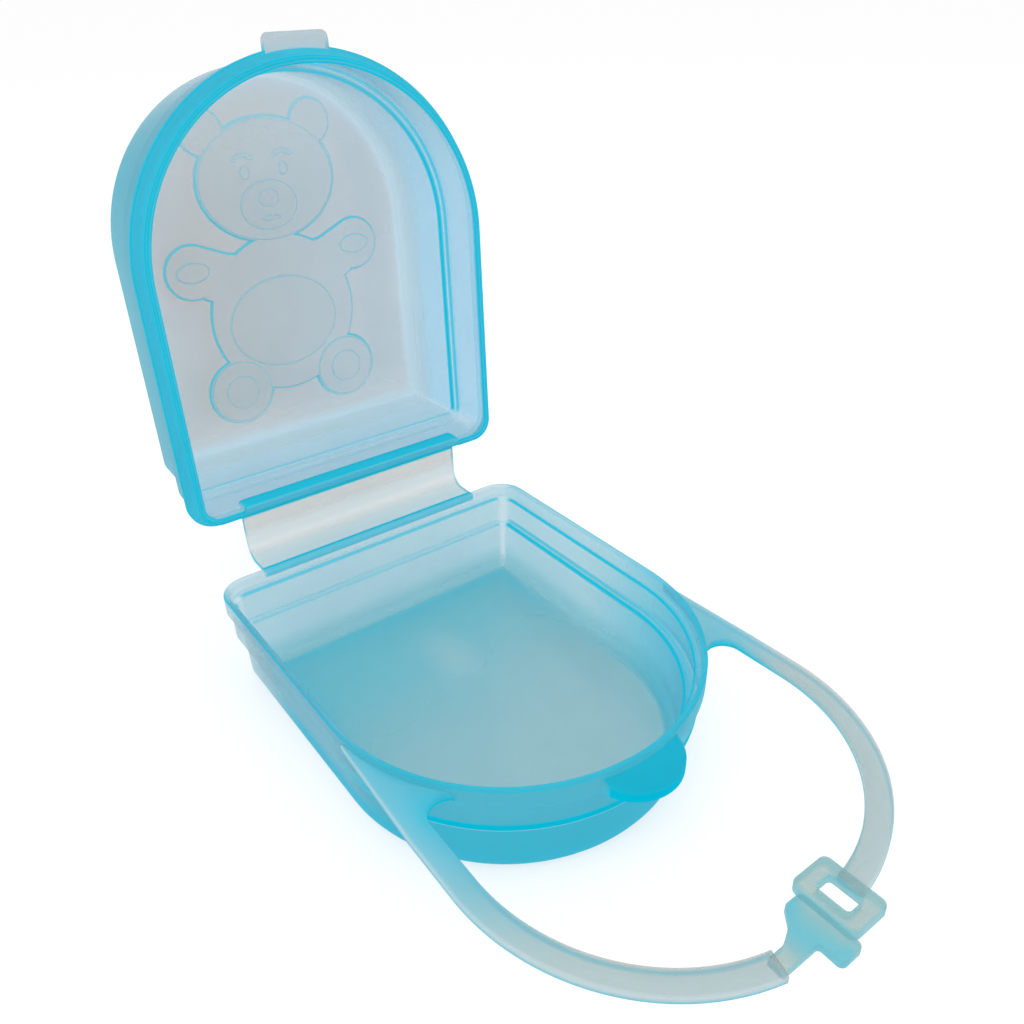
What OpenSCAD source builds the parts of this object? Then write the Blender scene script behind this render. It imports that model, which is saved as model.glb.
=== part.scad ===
// Pacifier sterilizer case: a stepped tray and lid joined by a wide flexible strap, with a thumb
// block and thumb tab at the front and a carry loop of two flat arms that meet at a push-through
// clasp. Shown open. Origin: centre of the tray's resting face. Front is -Y, the hinge is at +Y.

/* [Case] */
// Width of the case over its rim
case_w = 62; // [56:1:74]
// Length of the case over its rim, from hinge to front
case_l = 73; // [68:1:90]
// Height of the tray
tray_h = 18.3; // [16.5:0.1:28]
// Depth of the lid, rim plane to outer face
lid_h = 22; // [18:0.5:30]
// Radius of the two corners on the hinge side
corner_r = 5; // [4.9:0.1:8]
// Wall thickness of tray and lid
wall = 1.15; // [0.9:0.05:1.4]

/* [Rim fit] */
// Height of the tray's upstanding lip above its ledge
lip_h = 2.4; // [2:0.1:3]
// Thickness of the lip
lip_t = 0.9; // [0.7:0.05:1.1]
// Side clearance between the lip and the lid's plug ring
ring_gap = 0.3; // [0.25:0.05:0.35]
// Clearance under the plug ring's edge when the lid is closed
ring_float = 0.3; // [0.25:0.05:0.5]
// Gap left between lip and lid flange when the lid is closed
close_gap = 0.3; // [0.25:0.05:0.4]

/* [Tray shape] */
// How far the tray's upper band is set in from the rim
tray_band_in = 0.8; // [0.5:0.1:1.2]
// Depth of the tray's step below the rim
tray_step = 8.7; // [7.5:0.1:9.5]
// How far the tray's lower body is set in from the rim
tray_body_in = 2; // [1.6:0.1:2.2]
// Inward lean of the tray's body wall from step to foot
tray_draft = 0.4; // [0.2:0.1:0.4]
// Outer radius round the foot of the tray
foot_r = 2.2; // [1.6:0.1:2.3]

/* [Lid shape] */
// Thickness of the lid's flange
flange_t = 1.2; // [1:0.1:1.6]
// Depth of the lid's step above its rim plane
lid_step = 8.3; // [7:0.1:9.5]
// How far the lid's crown is set in from the rim
lid_body_in = 2.65; // [2.5:0.05:2.7]
// Inward lean of the lid's crown wall
lid_draft = 0.3; // [0.2:0.1:0.35]
// Outer radius round the top of the lid's crown
crown_r = 1.9; // [1.5:0.1:1.9]

/* [Hinge strap] */
// Width of the hinge strap
strap_w = 44.4; // [36:0.5:48]
// Thickness of the hinge strap
strap_t = 0.6; // [0.5:0.05:0.7]
// Depth of the tray's hinge bar, measured in from the rim
bar_in = 1.3; // [1.1:0.05:1.4]
// Height of both hinge bars
bar_h = 1.3; // [1.1:0.1:1.6]
// Thickness of the lid's hinge bar inside the tray's bar
lid_bar_t = 1.6; // [1.2:0.1:2]
// Angle from closed to the open pose shown
open_angle = 91.7; // [85:0.1:100]
// How far the open lid's hinge edge stands behind the tray's
strap_out = 5.6; // [5:0.1:6.5]
// How far the open lid's hinge edge stands above the tray's
strap_up = 7.7; // [7:0.1:9]
// Bend radius of the strap's convex face in the open pose
strap_bend_r = 3.3; // [2.5:0.1:4]
// Gap at each line where the plastic flexes
fold_gap = 0.3; // [0.2:0.05:0.4]
// How much the strap's concave face is cut back at its fold line
fold_relief = 0.4; // [0.35:0.05:0.6]
// Where the strap folds, as a share of its bend counted from the tray
fold_share = 0.2; // [0.1:0.05:0.25]

/* [Thumb grips] */
// Half width of the thumb block where it leaves the rim
block_r = 7.2; // [6:0.1:9]
// How far the thumb block projects past the rim
block_out = 4.9; // [3.5:0.1:6]
// Thickness of the thumb block
block_t = 2.3; // [1.8:0.1:3]
// Drop from the rim to the top of the thumb block
block_drop = 1.3; // [1:0.1:2]
// Width of the lid's thumb tab
tab_w = 10.5; // [8:0.5:14]
// How far the thumb tab projects past the rim
tab_out = 2; // [1.5:0.1:3]

/* [Carry loop] */
// Width of each arm's strap
arm_w = 3.4; // [2.8:0.1:4]
// Thickness of each arm's strap
arm_t = 1.5; // [1.2:0.1:1.8]
// Drop from the rim to the top of the arms
arm_drop = 1; // [0.8:0.1:1.6]
// Outer radius of each arm's curve
loop_r = 30.8; // [26:0.2:38]
// Sideways offset of each curve's centre from the middle
loop_spread = 1.1; // [0.6:0.1:2]
// Distance from the front curve's centre of the case to the left arm's centre
left_reach = 32.4; // [30:0.2:40]
// Distance from the front curve's centre of the case to the right arm's centre
right_reach = 30.8; // [29:0.2:40]
// Angle by which each arm's root end is cut back underneath
flex_relief = 16; // [12:1:20]
// Fillet between case and arm on the inside
root_fillet = 3; // [2:0.1:4]
// How far the left arm dips, and the right arm lifts, to cross at the clasp
arm_tilt = 1.2; // [1:0.05:1.6]

/* [Clasp] */
// Size of the buckle plate along X
buckle_l = 6.3; // [5.5:0.1:8]
// Size of the buckle plate along Y
buckle_w = 8.8; // [8:0.1:11]
// Thickness of the buckle plate
buckle_t = 1.8; // [1.4:0.1:2.2]
// Height of the buckle plate's underside above the arm's
buckle_raise = 0.45; // [0.4:0.05:0.8]
// Size of the buckle's slot along X
slot_l = 2.8; // [2.2:0.1:3.2]
// Size of the buckle's slot along Y
slot_w = 4.4; // [4:0.1:5]
// X of the buckle plate's centre
buckle_x = 2.15; // [1.5:0.05:3]
// Length of the tongue's head along X
head_l = 3.7; // [3:0.1:4]
// Width of the tongue's head along Y
head_w = 8.6; // [7:0.1:9.5]
// X of the head's free edge
head_end_x = 0.5; // [0.2:0.1:0.8]
// Width of the tongue's neck
neck_w = 2.3; // [1.8:0.1:2.8]
// X where the left arm ends and the neck starts
neck_x = -8.5; // [-10:0.1:-7]

/* [Bear relief] */
// Height of the bear's outline step on the lid panel
bear_t = 0.45; // [0.3:0.05:0.7]
// Height of each further level: head and belly, then muzzle and soles, then nose
pad_t = 0.2; // [0.15:0.05:0.3]
// Size of the bear, as a share of its drawn size
bear_scale = 1; // [0.8:0.05:1]

/* [Hidden] */
$fn = 96;

plastic = [0.45, 0.8, 0.9];
thick_plastic = [0.1, 0.66, 0.82];

half_w = case_w / 2;
back_y = case_l / 2;
front_y = -back_y + half_w;   // centre of the front half circle
edge_r = 0.25;                // softening of exposed edges
edge_n = 3;                   // steps round a softened edge
round_n = 6;                  // steps round a foot or crown radius

// Rim levels of the tray
ledge_z = tray_h - lip_h;
rib_z = ledge_z - wall;       // underside of the rim flange
tray_foot_in = tray_body_in + tray_draft + foot_r;

// Lid levels, measured from its rim plane away from the opening
ring_h = lip_h - ring_float + close_gap;  // how far the plug ring reaches past the rim plane
lid_band_in = lip_t + ring_gap;
lid_foot_in = lid_body_in + lid_draft + crown_r;

// Points on an arc from angle a0 to a1 in n steps
function arc(c, r, a0, a1, n) = [for (i = [0 : n]) let (a = a0 + (a1 - a0) * i / n) c + r * [cos(a), sin(a)]];

// Points on an ellipse with half axes a and b
function oval(a, b, n = 44) = [for (i = [0 : n - 1]) [a * cos(360 * i / n), b * sin(360 * i / n)]];

// Cross-section of the tray's wall. X is 0 on the rim line and negative inside, Y is height.
module tray_section() {
    inner = tray_band_in + wall;
    body = tray_body_in + wall;
    polygon(concat(
        arc([-edge_r, rib_z + edge_r], edge_r, -90, 0, edge_n),
        arc([-edge_r, tray_h - edge_r], edge_r, 0, 90, edge_n),
        arc([-lip_t + edge_r, tray_h - edge_r], edge_r, 90, 180, edge_n),
        [[-lip_t, ledge_z]],
        arc([-inner + edge_r, ledge_z - edge_r], edge_r, 90, 180, edge_n),
        [[-inner, tray_h - tray_step + wall]],
        arc([-body + edge_r, tray_h - tray_step + wall - edge_r], edge_r, 90, 180, edge_n),
        arc([-tray_foot_in, foot_r], foot_r - wall, 0, -90, round_n),
        arc([-tray_foot_in, foot_r], foot_r, -90, 0, round_n),
        [[-tray_body_in, tray_h - tray_step]],
        arc([-tray_band_in - edge_r, tray_h - tray_step + edge_r], edge_r, -90, 0, edge_n),
        [[-tray_band_in, rib_z]]
    ));
}

// Cross-section of the lid's wall, rim plane at Y = 0, crown upward
module lid_section() {
    inner = lid_band_in + wall;
    body = lid_body_in + wall;
    polygon(concat(
        arc([-lid_band_in - edge_r, -ring_h + edge_r], edge_r, -90, 0, edge_n),
        [[-lid_band_in, 0]],
        arc([-edge_r, edge_r], edge_r, -90, 0, edge_n),
        arc([-edge_r, flange_t - edge_r], edge_r, 0, 90, edge_n),
        [[-lid_band_in, flange_t]],
        arc([-lid_band_in - edge_r, lid_step - edge_r], edge_r, 0, 90, edge_n),
        [[-lid_body_in, lid_step]],
        arc([-lid_foot_in, lid_h - crown_r], crown_r, 0, 90, round_n),
        arc([-lid_foot_in, lid_h - crown_r], crown_r - wall, 90, 0, round_n),
        arc([-body + edge_r, lid_step - wall + edge_r], edge_r, -180, -90, edge_n),
        [[-inner, lid_step - wall]],
        arc([-inner + edge_r, -ring_h + edge_r], edge_r, 180, 270, edge_n)
    ));
}

// Sweeps a wall section round the case: front half circle, two sides, two corners, hinge side
module round_case() {
    side_l = back_y - corner_r - front_y;
    translate([0, front_y, 0]) mirror([0, 1, 0]) rotate_extrude(angle = 180)
        translate([half_w, 0]) children();
    for (flip = [0, 1]) mirror([flip, 0, 0]) {
        translate([half_w, back_y - corner_r, 0]) rotate([90, 0, 0]) linear_extrude(side_l) children();
        translate([half_w - corner_r, back_y - corner_r, 0]) rotate_extrude(angle = 90)
            translate([corner_r, 0]) children();
    }
    translate([corner_r - half_w, back_y, 0]) rotate([90, 0, 90])
        linear_extrude(case_w - 2 * corner_r) children();
}

// Outline of the case, set in from the rim line
module case_outline(inset) {
    r = corner_r - inset;
    translate([0, front_y]) circle(half_w - inset);
    translate([inset - half_w, front_y]) square([case_w - 2 * inset, back_y - corner_r - front_y]);
    translate([corner_r - half_w, front_y]) square([case_w - 2 * corner_r, back_y - inset - front_y]);
    for (side = [-1, 1]) translate([side * (half_w - corner_r), back_y - corner_r]) circle(r);
}

// Bar across the hinge side with half-round ends, seen from above
module bar_outline(from_in, to_in) {
    r = (to_in - from_in) / 2;
    translate([r - strap_w / 2, back_y - to_in]) square([strap_w - 2 * r, 2 * r]);
    for (side = [-1, 1]) translate([side * (strap_w / 2 - r), back_y - from_in - r]) circle(r);
}

module tray() {
    color(plastic) difference() {
        union() {
            round_case() tray_section();
            linear_extrude(wall) case_outline(tray_foot_in);
        }
        translate([0, 0, tray_h - bar_h]) linear_extrude(bar_h + 1) bar_seat();
    }
}

// The part of the lip that the tray's hinge bar replaces
module bar_seat() {
    translate([-strap_w / 2, back_y - bar_in]) square([strap_w, bar_in + 1]);
}

module tray_hinge_bar() {
    color(thick_plastic) translate([0, 0, tray_h - bar_h]) linear_extrude(bar_h)
        translate([-strap_w / 2, back_y - bar_in]) square([strap_w, bar_in]);
}

module thumb_block() {
    color(thick_plastic) translate([0, 0, tray_h - block_drop - block_t]) linear_extrude(block_t)
        difference() {
            translate([0, -back_y - block_out + block_r]) circle(block_r);
            translate([0, front_y]) circle(half_w);
        }
}

// Strap: its convex face is a path seen from the side, from the tray's bar round one bend to the lid's
lean = open_angle - 90;
turn = 180 - open_angle;
lid_edge = [back_y + strap_out, tray_h + strap_up];
lid_up = [sin(lean), cos(lean)];
lid_out = [cos(lean), -sin(lean)];
strap_start = [back_y, tray_h - strap_t];
strap_end = lid_edge + strap_t * lid_out;
corner_at = [strap_end[0] - (strap_end[1] - strap_start[1]) * tan(lean), strap_start[1]];
tangent_l = strap_bend_r * tan(turn / 2);
run_1 = corner_at[0] - strap_start[0] - tangent_l;
bend_l = strap_bend_r * turn * PI / 180;
run_2 = (strap_end[1] - strap_start[1]) / cos(lean) - tangent_l;
strap_l = run_1 + bend_l + run_2;
fold_s = run_1 + bend_l * fold_share;

// Heading of the strap at distance s, in degrees
function strap_dir(s) = s < run_1 ? 0 : s > run_1 + bend_l ? turn : (s - run_1) / bend_l * turn;

// Point on the convex face at distance s
function strap_at(s) =
    s < run_1 ? strap_start + [s, 0]
    : s < run_1 + bend_l ? strap_start + [run_1, strap_bend_r]
        + strap_bend_r * [sin(strap_dir(s)), -cos(strap_dir(s))]
    : strap_end - (strap_l - s) * lid_up;

// Point at height h above the convex face
function strap_above(s, h) = strap_at(s) + h * [-sin(strap_dir(s)), cos(strap_dir(s))];

// The strap from s0 to s1; relief is how much shorter its concave face is at either end
module strap_piece(s0, s1, relief_0, relief_1) {
    n = 14;
    translate([-strap_w / 2, 0, 0]) rotate([90, 0, 90]) linear_extrude(strap_w) polygon(concat(
        [for (i = [0 : n]) strap_at(s0 + (s1 - s0) * i / n)],
        [for (i = [n : -1 : 0])
            strap_above(s0 + relief_0 + (s1 - relief_1 - s0 - relief_0) * i / n, strap_t)]
    ));
}

module strap_tray_half() { color(plastic) strap_piece(0, fold_s - fold_gap / 2, 0, fold_relief); }
module strap_lid_half() { color(plastic) strap_piece(fold_s + fold_gap / 2, strap_l, fold_relief, 0); }

// Carries what is drawn in the closed lid's place to the open pose
module open_lid() {
    translate([0, lid_edge[0], lid_edge[1]]) rotate([-open_angle, 0, 0])
        translate([0, -back_y, 0]) children();
}

module lid() {
    color(plastic) open_lid() difference() {
        union() {
            round_case() lid_section();
            translate([0, 0, lid_h - wall]) linear_extrude(wall) case_outline(lid_foot_in);
        }
        translate([0, 0, -ring_h - 1]) linear_extrude(ring_h + 1 + bar_h)
            translate([-strap_w / 2, back_y - lid_band_in - wall - 1])
                square([strap_w, lid_band_in + wall + 2]);
    }
}

module lid_hinge_bar() {
    color(thick_plastic) open_lid() rotate([90, 0, 90]) translate([0, 0, -strap_w / 2])
        linear_extrude(strap_w) polygon([
            [back_y, 0],
            [back_y, bar_h],
            [back_y - bar_in - ring_gap - lid_bar_t, bar_h],
            [back_y - bar_in - ring_gap - lid_bar_t, -ring_h],
            [back_y - bar_in - ring_gap, -ring_h],
            [back_y - bar_in - ring_gap, 0]
        ]);
}

module thumb_tab() {
    corner = 1;
    color(plastic) open_lid() linear_extrude(flange_t) difference() {
        union() {
            translate([-tab_w / 2, -back_y - tab_out + corner]) square([tab_w, tab_out + corner]);
            translate([corner - tab_w / 2, -back_y - tab_out]) square([tab_w - 2 * corner, tab_out + corner]);
            for (side = [-1, 1]) translate([side * (tab_w / 2 - corner), -back_y - tab_out + corner])
                circle(corner, $fn = 32);
        }
        translate([0, front_y]) circle(half_w);
    }
}

// Bear, drawn on the lid panel with its origin at the panel's hinge edge and Y toward the crown.
// Each level stands on the one before: figure, then head, belly and feet, then muzzle and soles.
body_at = [0, 27.6];
head_at = [0.4, 51.5];
ear_at = [9.9, 60.3];
hand_at = [15.8, 38];
foot_at = [10.9, 14.6];

module bear_figure() {
    translate(head_at) polygon(oval(12.9, 10.5));
    translate(body_at) polygon(oval(14.1, 14.6));
    for (side = [-1, 1]) scale([side, 1]) {
        translate(ear_at) circle(3.8, $fn = 44);
        translate(foot_at) circle(6.2, $fn = 60);
        translate(hand_at) circle(4.8, $fn = 52);
        polygon([[6, 39.6], [9, 40.2], [14.1, 42.48], hand_at, [14.9, 33.28], [12, 31.5]]);
    }
}

module bear_second_level() {
    translate(head_at) polygon(oval(12.5, 10.1));
    translate([-0.4, 26.2]) polygon(oval(10.5, 8.4));
    for (side = [-1, 1]) scale([side, 1]) {
        translate(foot_at) circle(5.8, $fn = 60);
        translate(hand_at) polygon(oval(2.9, 1.7));
    }
}

module bear_third_level() {
    translate([0, 47.4]) polygon(oval(5.3, 4.2));
    for (side = [-1, 1]) scale([side, 1]) {
        translate(foot_at) circle(3.1, $fn = 40);
        translate([3.6, 53.4]) circle(0.9, $fn = 24);
        translate([3.7, 55.9]) polygon(oval(1.6, 0.4));
    }
}

module bear_nose() {
    translate([0, 48.6]) polygon(oval(1.8, 1.5));
    translate([0, 45.2]) polygon(oval(1.7, 0.4));
}

// Extrudes one level of the bear toward the opening, on top of the levels below it
module bear_level(below, t) {
    translate([0, back_y, lid_h - wall - below - t]) linear_extrude(t) scale([1, -1] * bear_scale)
        children();
}

module bear_relief() {
    color(plastic) open_lid() {
        bear_level(0, bear_t) bear_figure();
        bear_level(bear_t, pad_t) bear_second_level();
        bear_level(bear_t + pad_t, pad_t) bear_third_level();
        bear_level(bear_t + 2 * pad_t, pad_t) bear_nose();
    }
}

// Carry loop levels and the line where each arm flexes
arm_top = tray_h - arm_drop;
arm_low = arm_top - arm_t;
arm_out_x = loop_spread + loop_r;
arm_in_x = arm_out_x - arm_w;
fillet_x = arm_in_x - root_fillet;
fillet_y = front_y - sqrt(pow(half_w + root_fillet, 2) - pow(fillet_x, 2));
flex_y = fillet_y - fold_gap / 2;

// Web between the rim and one arm; drawn for the right side
module arm_root() {
    start_y = front_y - 3;
    translate([0, 0, arm_low]) linear_extrude(arm_t) difference() {
        polygon([
            [half_w, start_y],
            [arm_out_x, fillet_y],
            [arm_in_x, fillet_y],
            [fillet_x, fillet_y],
            [half_w * fillet_x / (half_w + root_fillet),
                front_y + half_w * (fillet_y - front_y) / (half_w + root_fillet)],
            [half_w - 2, start_y]
        ]);
        translate([0, front_y]) circle(half_w);
        translate([fillet_x, fillet_y]) circle(root_fillet, $fn = 48);
    }
}

module left_arm_root() { color(plastic) mirror([1, 0, 0]) arm_root(); }
module right_arm_root() { color(plastic) arm_root(); }

// Cross-section of an arm's strap with softened edges, outer face at X = 0
module arm_section() {
    polygon(concat(
        arc([-edge_r, edge_r], edge_r, -90, 0, edge_n),
        arc([-edge_r, arm_t - edge_r], edge_r, 0, 90, edge_n),
        arc([-arm_w + edge_r, arm_t - edge_r], edge_r, 90, 180, edge_n),
        arc([-arm_w + edge_r, edge_r], edge_r, 180, 270, edge_n)
    ));
}

// One arm, drawn for the right side: a straight run, then a quarter turn cut off at end_x. The end at
// the flex line is cut back underneath, so that the arm can also bend down.
module arm_strap(reach, end_x) {
    start_y = flex_y - fold_gap / 2;
    centre_y = front_y - reach;
    difference() {
        translate([arm_out_x, start_y, arm_low]) rotate([90, 0, 0])
            linear_extrude(start_y - centre_y) arm_section();
        translate([arm_in_x - 1, start_y, arm_top]) rotate([-flex_relief, 0, 0])
            translate([0, 0, -2 * arm_t]) cube([arm_w + 2, 2 * arm_t, 2 * arm_t]);
    }
    difference() {
        translate([loop_spread, centre_y, arm_low]) mirror([0, 1, 0]) rotate_extrude(angle = 90)
            translate([loop_r, 0]) arm_section();
        translate([end_x - loop_r, centre_y - loop_r - 1, arm_low - 1])
            cube([loop_r, loop_r, arm_t + 2]);
    }
}

// Tilts an arm about its flex line
module tilted(angle) {
    translate([0, flex_y, arm_top]) rotate([angle, 0, 0]) translate([0, -flex_y, -arm_top]) children();
}

arm_mid_r = loop_r - arm_w / 2;
neck_y = front_y - left_reach - sqrt(pow(arm_mid_r, 2) - pow(neck_x + loop_spread, 2));
buckle_y = front_y - right_reach - arm_mid_r;

module left_arm() {
    color(plastic) tilted(arm_tilt) mirror([1, 0, 0]) arm_strap(left_reach, -neck_x);
}

// Rounded rectangle centred on the origin
module round_rect(l, w, r) {
    square([l - 2 * r, w], center = true);
    square([l, w - 2 * r], center = true);
    for (x = [-1, 1], y = [-1, 1]) translate([x * (l / 2 - r), y * (w / 2 - r)]) circle(r, $fn = 32);
}

module clasp_tongue() {
    head_x = head_end_x - head_l / 2;
    color(thick_plastic) tilted(arm_tilt) translate([0, neck_y, arm_low]) linear_extrude(arm_t) {
        translate([neck_x + fold_gap, -neck_w / 2]) square([head_x - neck_x - fold_gap, neck_w]);
        translate([head_x, 0]) round_rect(head_l, head_w, 0.8);
        polygon([
            [neck_x + 2, neck_w / 2],
            [head_x - head_l / 2, neck_w / 2],
            [head_x, neck_w / 2],
            [head_x, head_w / 2],
            [head_x - 1, head_w / 2]
        ]);
    }
}

module right_arm() {
    color(plastic) tilted(-arm_tilt) arm_strap(right_reach, buckle_x + buckle_l / 2);
}

module clasp_buckle() {
    color(thick_plastic) tilted(-arm_tilt)
        translate([buckle_x, buckle_y, arm_low + buckle_raise]) linear_extrude(buckle_t) difference() {
            round_rect(buckle_l, buckle_w, 1);
            round_rect(slot_l, slot_w, 0.5);
        }
}

tray();
thumb_block();
tray_hinge_bar();
left_arm_root();
right_arm_root();
strap_tray_half();
strap_lid_half();
lid();
lid_hinge_bar();
thumb_tab();
bear_relief();
left_arm();
clasp_tongue();
right_arm();
clasp_buckle();
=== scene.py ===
"""Looks of the pacifier sterilizer case: moulded shells, strap, carry loop, clasp, floor and light."""

from math import acos, asin, atan2, ceil, cos, exp, hypot, pi, radians, sin, sqrt, tan

import bmesh
import bpy
import numpy as np
from mathutils import Matrix, Vector
from mathutils.geometry import delaunay_2d_cdt


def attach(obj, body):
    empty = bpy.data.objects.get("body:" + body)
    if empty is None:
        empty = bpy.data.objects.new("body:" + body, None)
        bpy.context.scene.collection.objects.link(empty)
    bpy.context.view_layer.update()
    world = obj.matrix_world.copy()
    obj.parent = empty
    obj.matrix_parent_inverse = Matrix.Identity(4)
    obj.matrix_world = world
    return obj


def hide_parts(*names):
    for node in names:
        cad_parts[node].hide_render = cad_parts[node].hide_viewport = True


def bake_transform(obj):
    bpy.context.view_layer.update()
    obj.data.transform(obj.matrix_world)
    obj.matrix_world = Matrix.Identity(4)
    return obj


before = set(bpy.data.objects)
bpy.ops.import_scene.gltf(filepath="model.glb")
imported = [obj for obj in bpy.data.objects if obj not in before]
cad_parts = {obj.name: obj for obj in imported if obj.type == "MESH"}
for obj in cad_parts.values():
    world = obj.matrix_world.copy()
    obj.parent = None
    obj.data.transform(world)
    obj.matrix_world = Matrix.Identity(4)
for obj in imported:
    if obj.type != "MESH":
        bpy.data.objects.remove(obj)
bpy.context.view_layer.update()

# Sizes in millimetres, as in the part's source
MM = 0.001
CASE_W = 62.0
CASE_L = 73.0
CORNER_R = 5.0
WALL = 1.15
TRAY_H = 18.3
LIP_H = 2.4
LIP_T = 0.9
BAND_IN = 0.8
STEP = 8.7
BODY_IN = 2.0
FOOT_LEAN = 0.4
FOOT_R = 2.2
LID_H = 22.0
FLANGE_T = 1.2
RING_H = 2.4
RING_IN = 1.2
LID_STEP = 8.3
LID_BODY_IN = 2.65
LID_LEAN = 0.3
CROWN_R = 1.9
STRAP_W = 44.4
STRAP_T = 0.6
STRAP_ROOT = 0.4
STRAP_EDGE = 0.3
BAR_IN = 1.3
BAR_H = 1.3
BAR_END = 0.65
LID_BAR_OUT_IN = 1.6
LID_BAR_IN = 3.2
OPEN_ANGLE = 91.7
STRAP_OUT = 5.6
STRAP_UP = 7.7
STRAP_BEND_R = 3.3
BLOCK_R = 7.2
BLOCK_HALF_W = 7.044
BLOCK_OUT = 4.9
BLOCK_TOP = 17.0
TAB_W = 10.5
TAB_OUT = 2.0
TAB_CORNER = 1.0
ARM_W = 3.4
ARM_T = 1.5
ARM_LOW = 15.8
ARM_TOP = 17.3
LOOP_R = 30.8
LOOP_SPREAD = 1.1
LEFT_REACH = 32.4
RIGHT_REACH = 30.8
ROOT_FILLET = 3.0
ARM_TILT = 1.2
NECK_X = -8.5
NECK_W = 2.3
HEAD_L = 3.7
HEAD_W = 8.6
HEAD_END_X = 0.5
BUCKLE_X = 2.15
BUCKLE_L = 6.3
BUCKLE_W = 8.8
BUCKLE_T = 1.8
BUCKLE_RAISE = 0.45
SLOT_L = 2.8
SLOT_W = 4.4

HALF_W = CASE_W / 2
BACK_Y = CASE_L / 2
FRONT_Y = HALF_W - BACK_Y
LEDGE_Z = TRAY_H - LIP_H
RIB_Z = LEDGE_Z - WALL
CAP_IN = 4.85
# The outermost skin of the rim, which the thumb block and the thumb tab are drawn out of
RIM_SKIN = 0.35
TAB_SKIN = 0.36

# How far an edge's colour fades into the flat wall beside it
EDGE_FADE = 0.22
# Longest gap between two points of a section
SECTION_GAP = 0.6


# Profiles and outlines


def corner_arc(before, here, after, radius, steps):
    """Points of the arc that rounds the corner at here, and how far along its sides it starts."""
    back = (before - here).normalized()
    ahead = (after - here).normalized()
    reach = radius / tan(back.angle(ahead) / 2)
    centre = here + (back + ahead).normalized() * hypot(reach, radius)
    start = here + back * reach - centre
    turn = start.angle_signed(here + ahead * reach - centre)
    return [centre + Matrix.Rotation(-turn * i / steps, 2) @ start for i in range(steps + 1)], reach


def fillet(corners, steps=5):
    """Rounds the corners of an open profile into points (inset, height, tone).

    A corner is (inset, height, radius, tone, tone of the flat after it)."""
    at = [Vector(c[:2]) for c in corners]
    last = len(corners) - 1
    arcs = [([here], 0.0) for here in at]
    for k in range(1, last):
        if corners[k][2] > 0:
            arcs[k] = corner_arc(at[k - 1], at[k], at[k + 1], corners[k][2], steps)
    points = []
    for k, (arc, reach) in enumerate(arcs):
        tone, after = corners[k][3:]
        if len(arc) == 1:
            points.append((*corners[k][:2], tone))
            continue
        before = corners[k - 1][4]
        guards = []
        for other in (k - 1, k + 1):
            along = at[other] - at[k]
            spare = along.length - reach - arcs[other][1]
            guards.append(at[k] + along.normalized() * (reach + min(EDGE_FADE, 0.45 * spare)))
        points.append((*guards[0], before))
        for i, spot in enumerate(arc):
            level = tone * (0.75 + 0.25 * sin(pi * i / steps))
            points.append((*spot, max(level, min(before, after))))
        points.append((*guards[1], after))
    return points


def split_long(points, longest):
    """Adds points to a profile wherever two neighbours are more than longest apart."""
    out = [points[0]]
    for a, b in zip(points, points[1:]):
        parts = max(1, ceil(hypot(b[0] - a[0], b[1] - a[1]) / longest))
        for i in range(1, parts + 1):
            out.append(tuple(p + (q - p) * i / parts for p, q in zip(a, b)))
    return out


# Stations stand closer where the hinge bars end, and where the thumb block and the thumb tab begin
HINGE_XS = [0, 6, 12, 17, 20, 21, 21.4, 21.7, 21.95, 22.1, 22.2, 22.35, 22.6, 23.2, 24.4]
BLOCK_XS = [7.4, 7.2, 7.1, BLOCK_HALF_W, 6.98, 6.85, 6.6, 6.3, 5.9, 5.5]
TAB_XS = [5.27, TAB_W / 2, 5.2, 5.08, 4.9, 4.6, TAB_W / 2 - TAB_CORNER, 3.6, 2.8, 2, 1.2, 0.4]
FRONT_XS = BLOCK_XS + TAB_XS


def case_stations():
    """Points of the rim line with their inward directions, once round from the hinge side's middle."""
    right = [(x, BACK_Y, 0, -1) for x in HINGE_XS]
    for i in range(13):
        a = radians(90 - 90 * i / 12)
        c, s = cos(a), sin(a)
        right.append((HALF_W - CORNER_R + CORNER_R * c, BACK_Y - CORNER_R + CORNER_R * s, -c, -s))
    side_l = BACK_Y - CORNER_R - FRONT_Y
    right += [(HALF_W, BACK_Y - CORNER_R - side_l * i / 12, -1, 0) for i in range(1, 13)]
    xs = FRONT_XS + [HALF_W * cos(radians(2 * i)) for i in range(1, 37)]
    for x in sorted(set(round(x, 4) for x in xs), reverse=True):
        a = asin(x / HALF_W)
        right.append((x, FRONT_Y - HALF_W * cos(a), -sin(a), cos(a)))
    return right + [(-x, y, -nx, ny) for x, y, nx, ny in reversed(right) if x > 0]


STATIONS = case_stations()


def at_inset(station, inset):
    """The station's point moved inward from the rim line."""
    return station[0] + station[2] * inset, station[1] + station[3] * inset


def smooth(x, low, high):
    """0 below low, 1 above high, and a soft rise between them."""
    t = min(1.0, max(0.0, (x - low) / (high - low)))
    return t * t * (3 - 2 * t)


# Meshes. Each point carries three layers of paint: tone is the deep colour of edges and thick places,
# veil the tint of the walls beside the face and painted light on the lid's panel, and the third the painted
# highlights and reflections.

LAYERS = ("tone", "veil", "painted_highlight")


def add_object(name, data):
    """A new object in the scene."""
    made = bpy.data.objects.new(name, data)
    bpy.context.scene.collection.objects.link(made)
    return made


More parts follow.
